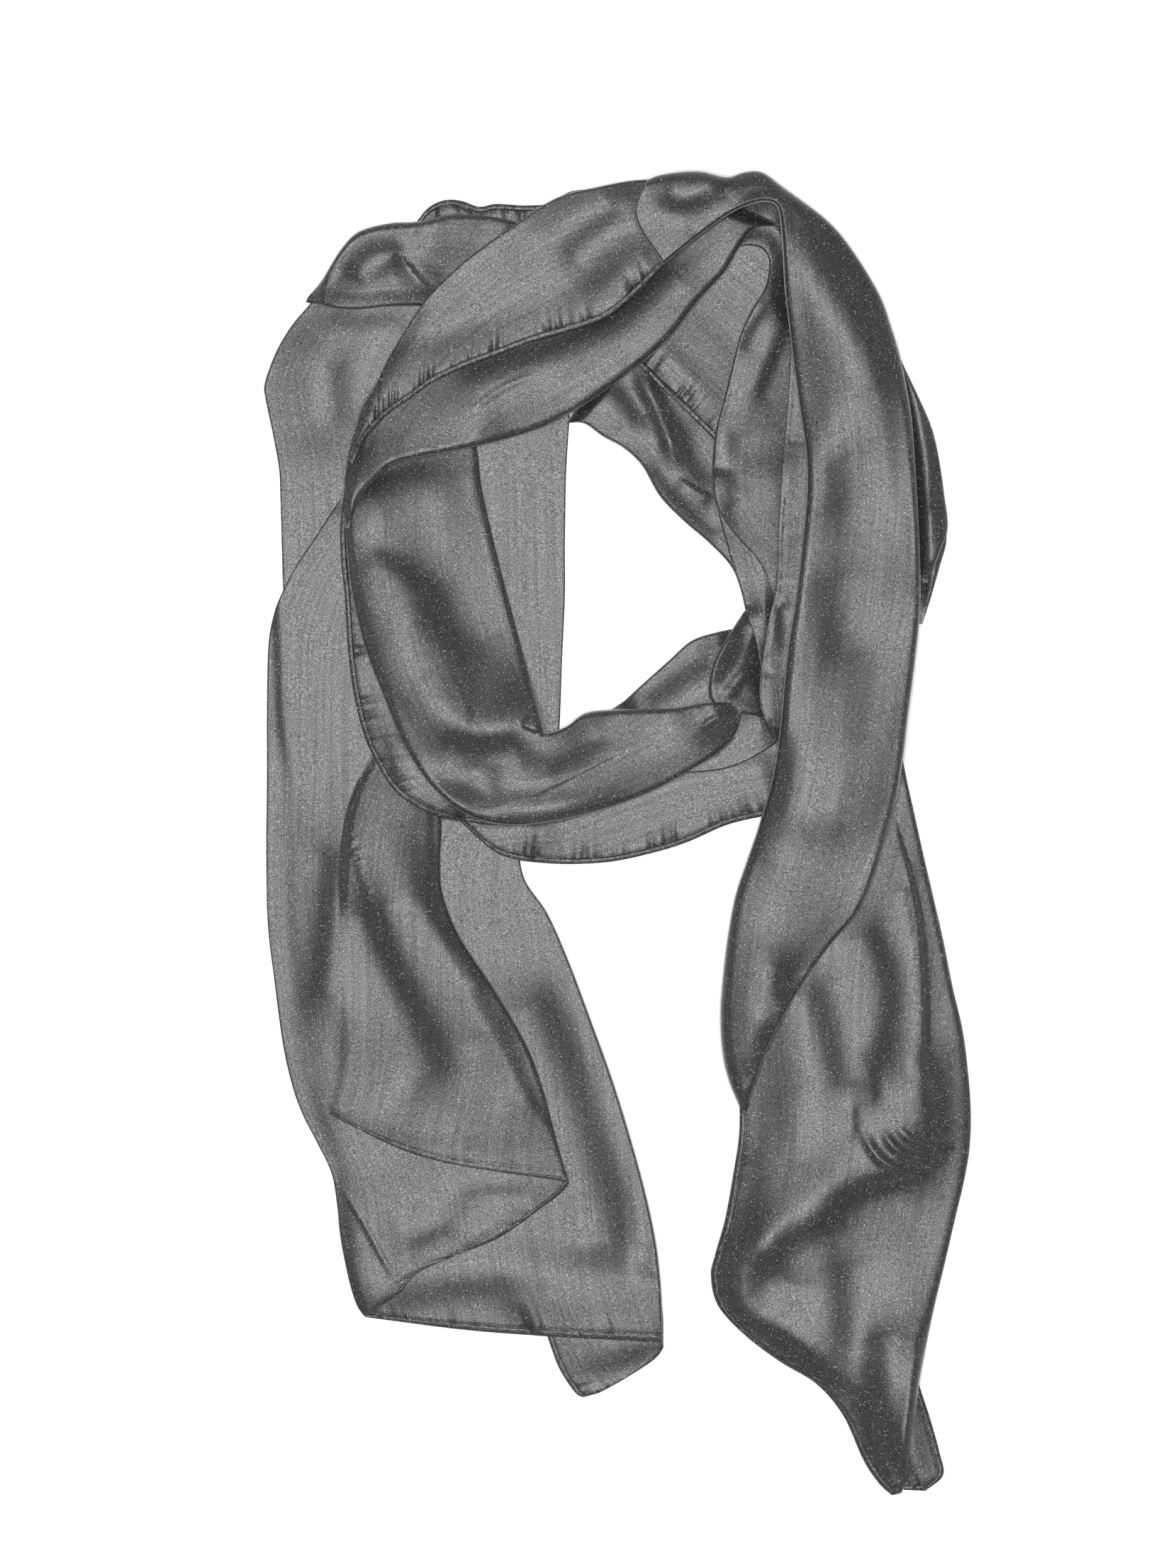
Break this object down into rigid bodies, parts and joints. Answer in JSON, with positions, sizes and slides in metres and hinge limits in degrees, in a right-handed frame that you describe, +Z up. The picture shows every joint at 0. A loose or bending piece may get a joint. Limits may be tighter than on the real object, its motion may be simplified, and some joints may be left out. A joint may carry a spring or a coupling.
{
  "type": "satin chiffon scarf",
  "caption": "Long lustrous scarf laid flat in a neck loop, with one tail folded like an accordion and the other hanging from the crossed strap.",
  "frame": {"origin": "middle of the underside's bounding box, on the surface that the scarf lies on", "axes": "+Z up from the surface, +Y from the tails towards the top of the neck loop, +X to the right of one who looks down at it"},
  "size_m": [0.289, 0.5418, 0.0223],
  "materials": {
    "cloth": "lustrous satin weave, grey"
  },
  "bodies": {
    "root": {"back_panel": "cloth", "inner_back": "cloth", "inner_side": "cloth", "inner_middle": "cloth", "top_hem": "cloth", "shoulder": "cloth", "left_tail_rear_corner": "cloth", "left_tail_back": "cloth", "left_tail_middle": "cloth", "left_tail_front": "cloth", "side_fold_rear": "cloth", "side_fold": "cloth", "bottom_band": "cloth", "bottom_middle": "cloth", "bottom_back": "cloth", "loop_tuck": "cloth", "inner_under": "cloth", "inner_strand": "cloth", "inner_hem": "cloth", "loop_under": "cloth", "bottom_front": "cloth", "loop_front": "cloth", "loop_roll": "cloth", "top_panel": "cloth", "right_tail_rear_corner": "cloth", "right_tail_back": "cloth", "top_fold": "cloth", "right_tail_front": "cloth"}
  },
  "joints": []
}
